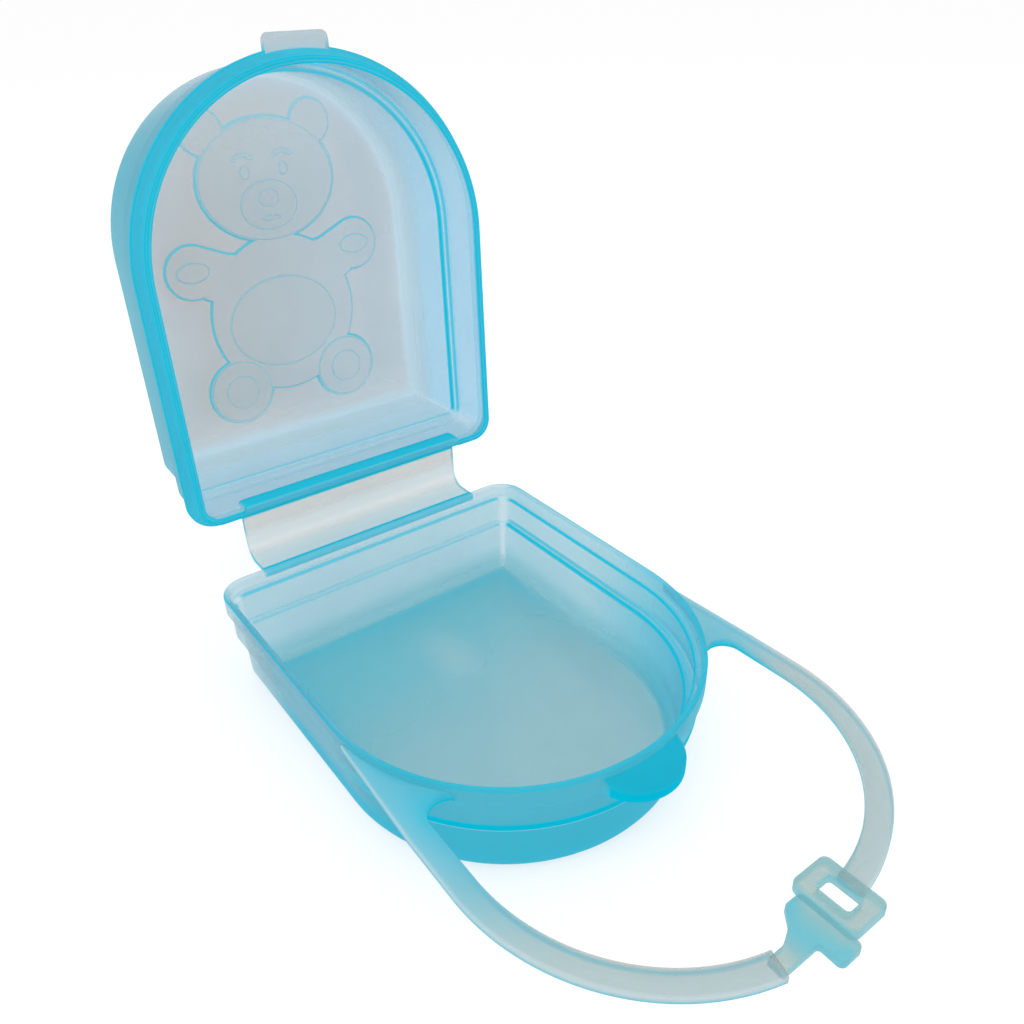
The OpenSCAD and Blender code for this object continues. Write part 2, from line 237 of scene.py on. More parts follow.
def new_piece(name, vertices, faces, paint):
    """A smooth-shaded mesh object from points in millimetres, with the layers of each point."""
    mesh = bpy.data.meshes.new(name)
    mesh.from_pydata([Vector(v) * MM for v in vertices], [], faces)
    mesh.polygons.foreach_set("use_smooth", [True] * len(mesh.polygons))
    values = np.array(paint, np.float32)
    for column, layer in enumerate(LAYERS):
        data = mesh.attributes.new(layer, "FLOAT", "POINT").data
        data.foreach_set("value", np.ascontiguousarray(values[:, column]))
    work = bmesh.new()
    work.from_mesh(mesh)
    bmesh.ops.recalc_face_normals(work, faces=work.faces)
    work.to_mesh(mesh)
    work.free()
    mesh.update()
    return add_object(name, mesh)


def swept_wall(profile, shape):
    """Sweeps a profile round the case; shape gives each point's (x, y, z) and its paint."""
    vertices = []
    paint = []
    crest = max(range(len(profile)), key=lambda k: -profile[k][0])
    for station in STATIONS:
        for k, (inset, height, tone) in enumerate(profile):
            place, layers = shape(station, inset, height, tone, k < crest)
            vertices.append(place)
            paint.append(layers)
    n = len(profile)
    count = len(STATIONS)
    faces = []
    for i in range(count):
        j = (i + 1) % count
        for k in range(n - 1):
            faces.append((i * n + k, i * n + k + 1, j * n + k + 1, j * n + k))
    return vertices, faces, paint


def case_loop(inset):
    """The case's outline at a large inset, with small corners of its own."""
    r = max(0.3, CORNER_R - inset)
    side = HALF_W - inset
    corner = (side - r, BACK_Y - inset - r)
    right = [(x * (side - r), BACK_Y - inset) for x in (0, 0.25, 0.5, 0.75)]
    for i in range(7):
        a = radians(90 - 15 * i)
        right.append((corner[0] + r * cos(a), corner[1] + r * sin(a)))
    right += [(side, corner[1] + (FRONT_Y - corner[1]) * i / 8) for i in range(1, 9)]
    for i in range(1, 21):
        a = radians(-4.5 * i)
        right.append((side * cos(a), FRONT_Y + side * sin(a)))
    return right + [(-x, y) for x, y in reversed(right) if x > 1e-6]


def fill_cap(shell, rings, loops, place, links=((), ()), flip=False):
    """Closes rings of numbered points, a hole's last, with triangles through more loops and points.

    place(points) gives the (x, y, z) and the layers of each new point."""
    vertices, faces, paint = shell
    known = [number for ring in rings for number, _ in ring]
    outlines = [[spot for _, spot in ring] for ring in rings]
    flat = []
    edges = []
    for loop in outlines + loops:
        first = len(flat)
        flat += [Vector(spot) for spot in loop]
        edges += [(first + i, first + (i + 1) % len(loop)) for i in range(len(loop))]
    edges += [(len(flat) + a, len(flat) + b) for a, b in links[1]]
    flat += [Vector(spot) for spot in links[0]]
    out, _, triangles, sources, _, _ = delaunay_2d_cdt(flat, edges, [], 0, 1e-5)
    index = []
    new = []
    for v, origin in zip(out, sources):
        on_ring = [k for k in origin if k < len(known)]
        if on_ring:
            index.append(known[on_ring[0]])
        else:
            index.append(len(vertices) + len(new))
            new.append((v.x, v.y))
    for spot, layers in place(new):
        vertices.append(spot)
        paint.append(layers)
    middles = np.array([(out[a] + out[b] + out[c]) / 3 for a, b, c in triangles])
    # A triangle in a hole is inside two outlines
    around = sum((polygon_distance(middles, outline) < 0).astype(int) for outline in outlines)
    for t, count in zip(triangles, around):
        if count == 1:
            face = tuple(index[i] for i in t)
            faces.append(face[::-1] if flip else face)


def tray_profile():
    """The tray's section from its underside round the rim to its floor."""
    inner = BAND_IN + WALL
    body = BODY_IN + WALL
    low = TRAY_H - STEP
    points = fillet([
        (CAP_IN, 0, 0, 0.1, 0.1),
        (BODY_IN + FOOT_LEAN, 0, FOOT_R - 0.1, 0.2, 0.1),
        (BODY_IN, low, 0.35, 0.3, 0.2),
        (BAND_IN, low, 0.4, 0.9, 0.05),
        (BAND_IN, RIB_Z, 0.3, 0.25, 0.1),
        (0, RIB_Z, 0.3, 0.4, 0.1),
        (0, TRAY_H, 0.32, 0.85, 0.05),
        (LIP_T, TRAY_H, 0.34, 0.3, 0.05),
        (LIP_T, LEDGE_Z, 0.25, 0.1, 0.0),
        (inner, LEDGE_Z, 0.35, 1.0, 0.0),
        (inner, low + WALL, 0.35, 0.75, 0.0),
        (body, low + WALL, 0.5, 1.0, 0.0),
        (body + FOOT_LEAN, WALL, 1.2, 0.1, 0.0),
        (CAP_IN, WALL, 0, 0, 0),
    ])
    return split_long(points, SECTION_GAP)


def block_depth(station, inset, height):
    """How far the thumb block reaches past the rim at a point of the wall."""
    x, y = station[:2]
    if y >= FRONT_Y or abs(x) >= BLOCK_HALF_W or inset >= RIM_SKIN:
        return 0.0
    if not RIB_Z - 0.05 < height < BLOCK_TOP + 0.6:
        return 0.0
    block_front = -BACK_Y - BLOCK_OUT + BLOCK_R - sqrt(BLOCK_R**2 - x**2)
    return max(0.0, y - block_front)


def bar_share(x):
    """1 along a hinge bar, falling to 0 round its half-round ends."""
    past = abs(x) - (STRAP_W / 2 - BAR_END)
    return 1.0 if past <= 0 else sqrt(max(0.0, 1 - (past / BAR_END) ** 2))


def at_hinge_side(station):
    """1 on the hinge side's wall, 0 on the others."""
    return smooth(-station[3], 0.25, 0.9)


def corner_share(station):
    """1 in the middle of the two corners on the hinge side, 0 along the walls."""
    if station[1] <= BACK_Y - CORNER_R:
        return 0.0
    return smooth(min(abs(station[2]), abs(station[3])), 0.2, 0.65)


def tray_shape(station, inset, height, tone, outer):
    """A point of the tray's wall, hinge bar and thumb block, and its layers."""
    outer = outer or inset < LIP_T / 2
    x, y = at_inset(station, inset)
    if station[1] == BACK_Y and inset > LIP_T - 0.4 and height > LEDGE_Z + 0.3:
        # The hinge bar stands inward of the lip
        bulge = bar_share(station[0]) * smooth(height, TRAY_H - BAR_H - 0.12, TRAY_H - BAR_H + 0.12)
        y -= (BAR_IN - LIP_T) * bulge * smooth(inset, LIP_T - 0.4, LIP_T - 0.1)
    depth = block_depth(station, inset, height)
    if depth > 0:
        # The thumb block stands out from the rim below the lip
        share = 1 - smooth(height, BLOCK_TOP - 0.02, BLOCK_TOP + 0.3)
        y -= depth * share * (1 - max(0.0, inset) / RIM_SKIN) ** 0.35
    return (x, y, height), tray_paint(station, inset, height, tone, outer, depth)


def tray_paint(station, inset, height, tone, outer, depth):
    """The layers of a point of the tray's wall; depth is the thumb block's reach there."""
    low = TRAY_H - STEP
    back = at_hinge_side(station)
    front = smooth(-station[1], -12, 22)
    painted_highlight = 0.0
    if back > 0 and (height > TRAY_H - 0.8 or (not outer and height > LEDGE_Z + 0.4)):
        # The lip carries a painted whitish highlight on the hinge side, apart from the bar
        on_bar = station[1] == BACK_Y and height > TRAY_H - BAR_H
        bar = bar_share(station[0]) if on_bar else 0.0
        plain = 0.3 * tone if inset > LIP_T / 2 else 0.0
        tone += back * (max(0.95 * bar, plain) - tone)
        painted_highlight = 0.5 * back * (1 - bar)
    if not outer and abs(height - low - WALL) < 1.0:
        tone *= 1 - back * (0.5 if inset > BODY_IN + WALL - 0.1 else 0.95)
    tone = max(tone, (1.0 if height < BLOCK_TOP - 0.3 else 0.95) * min(1.0, depth))
    if outer:
        tone, veil, painted_highlight = tray_outside(station, inset, height, tone, painted_highlight, front)
    else:
        tone, veil, painted_highlight = tray_inside(station, height, tone, painted_highlight, back, front)
    if height > TRAY_H - 0.35:
        tone = max(tone, 0.85 * front)
    return tone, veil, painted_highlight


def tray_outside(station, inset, height, tone, painted_highlight, front):
    """The outside is deeper toward the front and the foot, with a line along the step and a painted white
    highlight on the step's edge.
    """
    low = TRAY_H - STEP
    if height < TRAY_H - 0.8:
        tone *= 0.2 + 0.8 * front
    line = min(1.0, max(0.0, 2 - abs(height - low - 0.8) / 0.6)) * (inset < 1.0)
    left = smooth(station[2], 0.3, 0.9) * smooth(-station[1], -30, -10)
    tone = max(tone, front * (0.7 + 0.12 * smooth(-height, -11, -8)), front * line)
    tone = max(tone, left * (0.42 + 0.4 * smooth(-height, -7, -3)))
    # A painted white highlight along the step's lower edge
    step_highlight = max(0.0, 1 - abs(height - low - 0.1) / 0.25) * (inset < 1.9)
    return tone, 0.3 * (1 - front) * (1 - 0.7 * left), max(painted_highlight, 0.9 * front * step_highlight)


def tray_inside(station, height, tone, painted_highlight, back, front):
    """The inside is deeper at the foot and at the front right, with a painted pale highlight in the corners
    and a faint painted highlight on the hinge side.
    """
    corner = corner_share(station)
    foot = (1 - smooth(height, WALL, WALL + 6)) * (1 - corner)
    right = smooth(-station[2], 0.3, 0.9)
    veil = smooth(height, WALL, WALL + 5) * (0.6 + 0.4 * max(back, right))
    # A painted pale highlight in the corners, above the floor and below the ledge
    pale_highlight = 0.75 * corner * smooth(height, WALL, WALL + 3) * (height < LEDGE_Z)
    painted_highlight = max(painted_highlight, pale_highlight, 0.16 * back * smooth(height, WALL + 4, LEDGE_Z))
    return max(tone, 0.22 * foot, 0.3 * right * front), veil, painted_highlight


def edge_gap(x, y):
    """How far inward of the case's outline a point lies."""
    side = HALF_W - hypot(x, min(0.0, y - FRONT_Y))
    return min(side, BACK_Y - y)


def tray_floor(points):
    """The points on the tray's floor, deeper toward the hinge side and the foot of the walls, with a painted
    reflection: a soft light patch in the middle and a lighter front.
    """
    made = []
    for x, y in points:
        foot = 1 - smooth(edge_gap(x, y), CAP_IN, CAP_IN + 6)
        tone = 0.46 * smooth(y - 0.25 * x, -10, 30) + 0.14 * foot
        # A painted reflection: a soft light patch in the middle of the floor, and a lighter front
        patch = exp(-(((x - 2) / 4) ** 2) - ((y - 14) / 7) ** 2)
        painted_highlight = 0.1 * smooth(-y, -8, 20) + 0.22 * patch
        made.append(((x, y, WALL), (tone * (1 - 0.5 * patch), 0.0, painted_highlight)))
    return made


def end_rings(profile):
    """The first and the last ring of a swept wall, as (number, place) of each point."""
    n = len(profile)
    spots = [at_inset(station, CAP_IN) for station in STATIONS]
    return [[(i * n + k, spot) for i, spot in enumerate(spots)] for k in (0, n - 1)]


def build_tray():
    """The tray with its floor, hinge bar and thumb block."""
    profile = tray_profile()
    shell = swept_wall(profile, tray_shape)
    rings = end_rings(profile)
    loops = [case_loop(inset) for inset in (5.6, 6.8, 8.5, 11, 14, 18, 23, 27)]
    fill_cap(shell, rings[:1], loops, lambda spots: [((x, y, 0), (0.1, 0.0, 0.0)) for x, y in spots])
    fill_cap(shell, rings[1:], loops, tray_floor)
    return new_piece("tray_shell", *shell)


# The lid, drawn closed with its rim plane at height 0 and its crown up


def opened(x, y, z):
    """Carries a point from the closed lid's own place to the open pose."""
    a = radians(-OPEN_ANGLE)
    y -= BACK_Y
    return (
        x,
        BACK_Y + STRAP_OUT + y * cos(a) - z * sin(a),
        TRAY_H + STRAP_UP + y * sin(a) + z * cos(a),
    )


def lid_profile():
    """The lid's section from its crown round the flange and the plug ring to its inner panel."""
    inner = RING_IN + WALL
    body = LID_BODY_IN + WALL
    points = fillet([
        (CAP_IN, LID_H, 0, 0, 0),
        (LID_BODY_IN + LID_LEAN, LID_H, CROWN_R - 0.05, 0.15, 0.1),
        (LID_BODY_IN, LID_STEP, 0.35, 0.2, 0.15),
        (RING_IN, LID_STEP, 0.4, 0.2, 0.1),
        (RING_IN, FLANGE_T, 0.3, 0.3, 0.2),
        (0, FLANGE_T, 0.3, 1.0, 0.95),
        (0, 0, 0.3, 1.0, 0.8),
        (TAB_SKIN, 0, 0, 0.9, 0.85),
        (TAB_SKIN + 0.05, 0, 0, 0.88, 0.85),
        (RING_IN, 0, 0.2, 0.85, 0.88),
        (RING_IN, -RING_H, 0.3, 1.0, 1.0),
        (inner, -RING_H, 0.4, 1.0, 0.0),
        (inner, LID_STEP - WALL, 0.35, 0.8, 0.0),
        (body, LID_STEP - WALL, 0.5, 1.0, 0.0),
        (body + LID_LEAN, LID_H - WALL, 0.72, 0.0, 0.0),
        (CAP_IN, LID_H - WALL, 0, 0, 0),
    ])
    return split_long(points, SECTION_GAP)


def tab_depth(station, inset, height):
    """How far the thumb tab reaches past the flange at a point of the wall."""
    x, y = station[:2]
    if y >= FRONT_Y or abs(x) > TAB_W / 2 or inset >= TAB_SKIN + 0.04 or height >= FLANGE_T + 0.1:
        return 0.0
    past = max(0.0, abs(x) - (TAB_W / 2 - TAB_CORNER))
    round_off = TAB_CORNER - sqrt(max(0.0, TAB_CORNER**2 - past**2))
    return y + BACK_Y + TAB_OUT - round_off


def lid_bar_push(share, inset, height):
    """How far the hinge bar stands further in than the plug ring."""
    if inset > RING_IN + WALL / 2:
        reach = (LID_BAR_IN - (RING_IN + WALL)) * smooth(-height, -0.95, -0.75)
    else:
        reach = (LID_BAR_OUT_IN - RING_IN) * smooth(-height, 0.05, 0.3)
    return reach * share * smooth(inset, 0.9, RING_IN)


def lid_bar_tone(share, inset, height, tone):
    """The hinge bar's tone, deep on its inner face and its flange and paler between."""
    if inset > RING_IN + WALL - 0.1:
        return tone + (0.95 - tone) * share * smooth(-height, -1.1, -0.9)
    if inset > RING_IN + 0.25:
        return tone + (0.7 - tone) * share * smooth(-height, 0.0, 0.6)
    if height < 0.2:
        return max(tone, 0.9 * share)
    return tone


def lid_shape(station, inset, height, tone, outer):
    """A point of the lid's wall, hinge bar and thumb tab, and its layers."""
    x, y = at_inset(station, inset)
    back = at_hinge_side(station)
    if station[1] == BACK_Y and height < FLANGE_T - 0.2 and not outer:
        share = bar_share(station[0])
        y -= lid_bar_push(share, inset, height)
        tone = lid_bar_tone(share, inset, height, tone)
    if not outer and abs(height - LID_STEP + WALL) < 1.0:
        tone *= 1 - back * (0.4 if inset > LID_BODY_IN + WALL - 0.1 else 0.95)
    wall = 1 - smooth(height, LID_H - 7, LID_H - WALL)
    deep = smooth(height, LID_H - 8, LID_H - WALL)
    if outer:
        paint = lid_outside(station, height, tone, wall, deep)
    else:
        paint = lid_inside(station, height, tone, wall, deep)
    depth = tab_depth(station, inset, height)
    if depth > 0:
        # The thumb tab stands out from the flange
        far = 0.92 * (1 - max(0.0, inset) / TAB_SKIN) ** 0.35 if inset < TAB_SKIN else 0.0
        y -= depth * (far + (0.08 if inset < TAB_SKIN + 0.01 else 0.0))
        tone = paint[0]
        # The tab turns pale, with a little painted highlight
        paint = (tone + (0.04 - tone) * min(1.0, 2 * depth), 0.3, 0.25)
    return opened(x, y, height), paint


def lid_outside(station, height, tone, wall, deep):
    """The layers of the lid's outside, deeper on the left, with a painted highlight toward the crown away
    from the left.
    """
    left = smooth(station[2], 0.2, 0.9)
    if height > FLANGE_T:
        tone = max(tone, 0.6 * left)
    return tone, max(wall, 0.8 * deep) * (1 - left), 0.28 * deep * (1 - left)


def lid_inside(station, height, tone, wall, deep):
    """The layers of the lid's inside, with painted highlights that make it paler on the hinge side, under
    the arch, in the corners and toward the crown.
    """
    back = at_hinge_side(station)
    arch = smooth(station[3], 0.3, 0.95)
    veil = max(wall * (1 - 0.5 * max(back, arch)), 0.6 * deep, painted_panel_light(station[0]))
    corner = 0.4 * corner_share(station) * smooth(height, 0, 3)
    # Painted highlight that lightens the hinge side and the wall under the arch
    pale_highlight = max(0.32 * back, 0.48 * arch) * smooth(height, 4, LID_H - 6)
    return tone, veil, max(corner, pale_highlight, 0.34 * deep)


def painted_panel_light(x):
    """Painted light: the lid's panel turns bluer from left to right."""
    return 0.02 + 0.55 * smooth(x, -22, 24)


# The bear on the lid panel. X is across, U runs from the hinge edge toward the crown.
# Each of its four levels has its bevel's width, its rise and the tone of its line.

BEVEL = (0.5, 0.32, 0.3, 0.26)
RISE = (0.45, 0.2, 0.2, 0.2)
LINE_TONE = (0.85, 0.45, 0.38, 0.32)
LINE_GAP = 0.45


def both_sides(parts):
    """Each ellipse (x, u, a, b) and its mirror image."""
    return parts + [(-x, u, a, b) for x, u, a, b in parts]


BEAR = [
    [(0.4, 51.5, 12.9, 10.5), (0, 27.6, 14.1, 14.6)]
    + both_sides([(9.9, 60.3, 3.8, 3.8), (10.9, 14.6, 6.2, 6.2), (15.8, 38, 4.8, 4.8)]),
    [(0.4, 51.5, 12.5, 10.1), (-0.4, 26.2, 10.5, 8.4)]
    + both_sides([(10.9, 14.6, 5.8, 5.8), (15.8, 38, 2.9, 1.7)]),
    [(0, 47.4, 5.3, 4.2)]
    + both_sides([(10.9, 14.6, 3.1, 3.1), (3.6, 53.2, 0.8, 1.1)])
    + both_sides([(3.7 + 1.5 * t, 56.1 - 0.55 * t * t, 0.42, 0.36) for t in (-1, -0.6, -0.2, 0.2, 0.6, 1)]),
    [(0, 48.6, 1.8, 1.5), (0, 45.2, 1.7, 0.4)],
]
ARM_PATCH = [(6, 39.6), (9, 40.2), (14.1, 42.48), (15.8, 38), (14.9, 33.28), (12, 31.5)]


def ellipse_distance(p, ellipse):
    """Rough signed distance from points p to an ellipse's outline, negative inside."""
    x, u, a, b = ellipse
    q = p - np.array((x, u))
    k0 = np.hypot(q[:, 0] / a, q[:, 1] / b)
    k1 = np.hypot(q[:, 0] / a**2, q[:, 1] / b**2)
    return np.where(k1 > 1e-6, k0 * (k0 - 1) / np.maximum(k1, 1e-6), -min(a, b))


def polygon_distance(p, corners):
    """Signed distance from points p to a polygon, negative inside."""
    best = np.full(len(p), 1e9)
    inside = np.zeros(len(p), bool)
    for a, b in zip(corners, corners[1:] + corners[:1]):
        a = np.array(a, float)
        b = np.array(b, float)
        e = b - a
        t = np.clip(((p - a) @ e) / (e @ e), 0, 1)
        best = np.minimum(best, np.linalg.norm(p - (a + t[:, None] * e), axis=1))
        crosses = (a[1] > p[:, 1]) != (b[1] > p[:, 1])
        if b[1] != a[1]:
            at_x = a[0] + (p[:, 1] - a[1]) * (b[0] - a[0]) / (b[1] - a[1])
            inside ^= crosses & (p[:, 0] < at_x)
    return np.where(inside, -best, best)


def level_distance(p, level):
    """Signed distance from points p to the outline of one level of the bear."""
    d = np.min([ellipse_distance(p, e) for e in BEAR[level]], axis=0)
    if level == 0:
        for side in (-1, 1):
            patch = [(side * x, u) for x, u in ARM_PATCH]
            d = np.minimum(d, polygon_distance(p, patch))
    return d


def soft_step(x):
    """A soft rise from 0 to 1 for an array of values."""
    t = np.clip(x, 0, 1)
    return t * t * (3 - 2 * t)


def bear_surface(p):
    """Height of the bear and tone of its lines at points p of the panel."""
    height = np.zeros(len(p))
    tone = np.zeros(len(p))
    for level in range(len(BEAR)):
        d = level_distance(p, level)
        height += RISE[level] * soft_step(0.5 - d / BEVEL[level])
        line = soft_step(1.1 - np.abs(d) / (BEVEL[level] * 0.5))
        tone = np.maximum(tone, LINE_TONE[level] * line)
    return height, tone


def ellipse_line(ellipse, offset):
    """Points round an ellipse at an offset from its outline."""
    x, u, a, b = ellipse
    count = max(20, round(2 * pi * sqrt((a * a + b * b) / 2) / LINE_GAP))
    loop = []
    for i in range(count):
        t = 2 * pi * i / count
        normal = Vector((cos(t) / a, sin(t) / b)).normalized()
        loop.append((x + a * cos(t) + offset * normal.x, u + b * sin(t) + offset * normal.y))
    return loop


def arm_line(side, offset):
    """Points at an offset round the patch between the bear's body and one arm."""
    patch = [(side * x, u) for x, u in ARM_PATCH]
    loop = []
    for (ax, au), (bx, bu) in zip(patch, patch[1:] + patch[:1]):
        length = hypot(bx - ax, bu - au)
        turn = side * offset / length
        parts = round(length / LINE_GAP)
        for i in range(parts):
            t = i / parts
            loop.append((ax + (bx - ax) * t - (bu - au) * turn, au + (bu - au) * t + (bx - ax) * turn))
    return loop


def bear_lines():
    """Points and edges that follow every step of the bear at several offsets."""
    points = []
    edges = []
    for level, ellipses in enumerate(BEAR):
        half = BEVEL[level] / 2
        for offset in (-half - 0.14, -half, -half / 2, 0, half / 2, half, half + 0.14):
            loops = [ellipse_line(ellipse, offset) for ellipse in ellipses]
            if level == 0:
                loops += [arm_line(side, offset) for side in (-1, 1)]
            for loop in loops:
                keep = np.abs(level_distance(np.array(loop), level) - offset) < 0.05
                index = {}
                for i, ok in enumerate(keep):
                    if ok:
                        index[i] = len(points)
                        points.append(loop[i])
                for i in index:
                    j = (i + 1) % len(loop)
                    if j in index:
                        edges.append((index[i], index[j]))
    return points, edges


def lid_panel(points):
    """The points on the lid's inner panel, given in the closed lid's own place, with painted highlights near
    the hinge side, toward the arch and next to the walls.
    """
    height, tone = bear_surface(np.array([(x, BACK_Y - y) for x, y in points]))
    made = []
    for (x, y), h, t in zip(points, height, tone):
        wall = 1 - smooth(edge_gap(x, y), CAP_IN - 1, CAP_IN + 6)
        back = smooth(y, BACK_Y - 14, BACK_Y - 6)
        veil = max(painted_panel_light(x), wall * (1 - 0.5 * back))
        # Painted highlights near the hinge side, toward the arch and next to the walls
        painted_highlight = max(0.32 * back, 0.3 * smooth(-y, 8, 26), 0.36 * wall)
        made.append((opened(x, y, LID_H - WALL - float(h)), (float(t), veil, painted_highlight)))
    return made


def build_lid():
    """The lid with its hinge bar, thumb tab and bear."""
    profile = lid_profile()
    shell = swept_wall(profile, lid_shape)
    rings = end_rings(profile)
    top = [case_loop(inset) for inset in (5.6, 6.8, 8.5)]
    fill_cap(shell, rings[:1], top, lambda spots: [(opened(x, y, LID_H), (0.0, 0.2, 0.0)) for x, y in spots])
    points, edges = bear_lines()
    lines = ([(x, BACK_Y - u) for x, u in points], edges)
    loops = [case_loop(inset) for inset in (5.3, 6.1, 7.1, 8.3)]
    fill_cap(shell, rings[1:], loops, lid_panel, lines)
    return new_piece("lid_shell", *shell)


# Strap, arms and clasp


def rounded_box(width, thick, radius, steps=4):
    """Corner-rounded rectangle round the origin as (across, up) points, counter-clockwise."""
    points = []
    for sx, sy, a0 in ((1, -1, -90), (1, 1, 0), (-1, 1, 90), (-1, -1, 180)):
        for i in range(steps + 1):
            a = radians(a0 + 90 * i / steps)
            points.append((
                sx * (width / 2 - radius) + radius * cos(a),
                sy * (thick / 2 - radius) + radius * sin(a),
            ))
    return points


def band_faces(first, count, n, flip):
    """Faces between count closed rings with n points each, numbered from first."""
    faces = []
    for ring in range(first, first + (count - 1) * n, n):
        for i in range(n):
            j = (i + 1) % n
            quad = (ring + i, ring + j, ring + n + j, ring + n + i)
            faces.append(quad[::-1] if flip else quad)
    return faces


def tube_faces(count, n, flip=False):
    """Faces of a tube made of count rings with n points each, with its two ends."""
    first = tuple(reversed(range(n)))
    last = tuple(range((count - 1) * n, count * n))
    ends = [first[::-1], last[::-1]] if flip else [first, last]
    return band_faces(0, count, n, flip) + ends


def strap_path():
    """Points (y, z) of the strap's convex face with headings, from the tray's bar to the lid's."""
    lean = radians(OPEN_ANGLE - 90)
    turn = radians(180 - OPEN_ANGLE)
    start = Vector((BACK_Y, TRAY_H - STRAP_T))
    up = Vector((sin(lean), cos(lean)))
    out = Vector((cos(lean), -sin(lean)))
    end = Vector((BACK_Y + STRAP_OUT, TRAY_H + STRAP_UP)) + STRAP_T * out
    corner_y = end.x - (end.y - start.y) * tan(lean)
    tangent = STRAP_BEND_R * tan(turn / 2)
    run_1 = corner_y - start.x - tangent
    run_2 = (end.y - start.y) / cos(lean) - tangent
    points = [(start + Vector((-STRAP_ROOT + (run_1 + STRAP_ROOT) * i / 9, 0)), 0.0) for i in range(9)]
    centre = start + Vector((run_1, STRAP_BEND_R))
    for i in range(21):
        a = turn * i / 20
        points.append((centre + STRAP_BEND_R * Vector((sin(a), -cos(a))), a))
    return points + [(end - run_2 * (1 - i / 14) * up, turn) for i in range(1, 15)]


def strap_section():
    """The strap's cross-section as (across, up, tone), with half-round edges."""
    flat = STRAP_W / 2 - STRAP_EDGE
    section = []
    for side, up in ((1, 0.0), (-1, STRAP_T)):
        section += [(side * flat * (i / 12 - 1), up, 0) for i in range(25)]
        for i in range(1, 6):
            a = radians(30 * i - 90 * side)
            section.append((side * flat + STRAP_EDGE * cos(a), STRAP_T / 2 * (1 + sin(a)), 0.7))
    return section


def build_strap():
    """The strap as one film that runs into the tray's bar and the lid's."""
    section = strap_section()
    path = strap_path()
    turn = path[-1][1]
    vertices = []
    paint = []
    for k, (at, heading) in enumerate(path):
        # A painted whitish highlight lies across the bend, and the part next to the tray is bluer
        band = smooth(heading, 0.35 * turn, 0.8 * turn) * (1 - smooth(at.y, TRAY_H + 3.2, TRAY_H + 5.5))
        veil = 1 - smooth(heading, 0.1 * turn, 0.7 * turn)
        for x, h, tone in section:
            vertices.append((x, at.x - h * sin(heading), at.y + h * cos(heading)))
            paint.append((tone if 1 < k < len(path) - 1 else 1.0, veil, 0.6 * band))
    return new_piece("hinge_strap", vertices, tube_faces(len(path), len(section)), paint)


ARM_OUT_X = LOOP_SPREAD + LOOP_R
ARM_IN_X = ARM_OUT_X - ARM_W
FILLET_X = ARM_IN_X - ROOT_FILLET
FILLET_Y = FRONT_Y - sqrt((HALF_W + ROOT_FILLET) ** 2 - FILLET_X**2)
FLEX_Y = FILLET_Y - 0.15
START_Y = FRONT_Y - 3
# The share of the web's outer edge that faces the case, and how far the web's inner edge lies in the rim
WEB_TURN = 0.42
WEB_SINK = 0.12
ARM_ROUND = 0.32


def polar(centre, radius, angle):
    """The point at an angle on a circle."""
    return Vector(centre) + radius * Vector((cos(angle), sin(angle)))


def web_edge(share):
    """The point of the web's outer edge at a share of its way from the rim to the arm."""
    return Vector((HALF_W + (ARM_OUT_X - HALF_W) * share, START_Y - (START_Y - FILLET_Y) * share))


def arm_edges(reach, end_x):
    """Outer and inner edge points of one arm with its root web, drawn for the right side."""
    rows = []
    front = (0, FRONT_Y)
    fillet_at = (FILLET_X, FILLET_Y)
    share = HALF_W / (HALF_W + ROOT_FILLET)
    cusp = Vector((FILLET_X * share, FRONT_Y + (FILLET_Y - FRONT_Y) * share))
    cusp_a = atan2(cusp.y - FRONT_Y, cusp.x)
    start_a = atan2(START_Y - FRONT_Y, sqrt(HALF_W**2 - (START_Y - FRONT_Y) ** 2))
    for i in range(1, 19):
        t = i / 18
        inner = polar(front, HALF_W - WEB_SINK, start_a + (cusp_a - start_a) * t)
        rows.append((web_edge(WEB_TURN * t), inner))
    fillet_a = atan2(cusp.y - FILLET_Y, cusp.x - FILLET_X)
    for i in range(1, 13):
        t = i / 12
        inner = polar(fillet_at, ROOT_FILLET, fillet_a * (1 - t))
        rows.append((web_edge(WEB_TURN + (1 - WEB_TURN) * t), inner))
    centre = (LOOP_SPREAD, FRONT_Y - reach)
    for i in range(1, 17):
        y = FILLET_Y - (FILLET_Y - centre[1]) * i / 16
        rows.append((Vector((ARM_OUT_X, y)), Vector((ARM_IN_X, y))))
    end_a = acos((end_x - LOOP_SPREAD) / (LOOP_R - ARM_W / 2))
    for i in range(1, 61):
        a = -end_a * i / 60
        rows.append((polar(centre, LOOP_R, a), polar(centre, LOOP_R - ARM_W, a)))
    return rows


def tilt(v, angle):
    """Turns a point about the line where the arms flex, with weight growing from the root."""
    x, y, z = v
    a = radians(angle) * smooth(-y, -FILLET_Y - 1.5, -FILLET_Y + 1.5)
    dy = y - FLEX_Y
    dz = z - ARM_TOP
    return x, FLEX_Y + dy * cos(a) - dz * sin(a), ARM_TOP + dy * sin(a) + dz * cos(a)


def arm_paint(y, s, h, gap, side):
    """The layers of an arm at across s and up h from its middle; gap is 0 on its edge and 1 past it."""
    left = side < 0
    edge = 1 - min(1.0, gap)
    fade = 1 - smooth(-y, -FILLET_Y - 6, -FILLET_Y + (28 if left else 10))
    root = (0.84 if left else 0.26) * fade
    # A painted highlight runs along the arm's outer top edge
    top_edge_highlight = 0.5 * edge * (h > 0) * (s > 0)
    line = min(1.0, 0.7 * (h < 0.3) + 0.8 * fade * (s < 0)) * edge
    return max(line, root * (1 - top_edge_highlight)), (0.4 if left else 0.75) * fade, top_edge_highlight


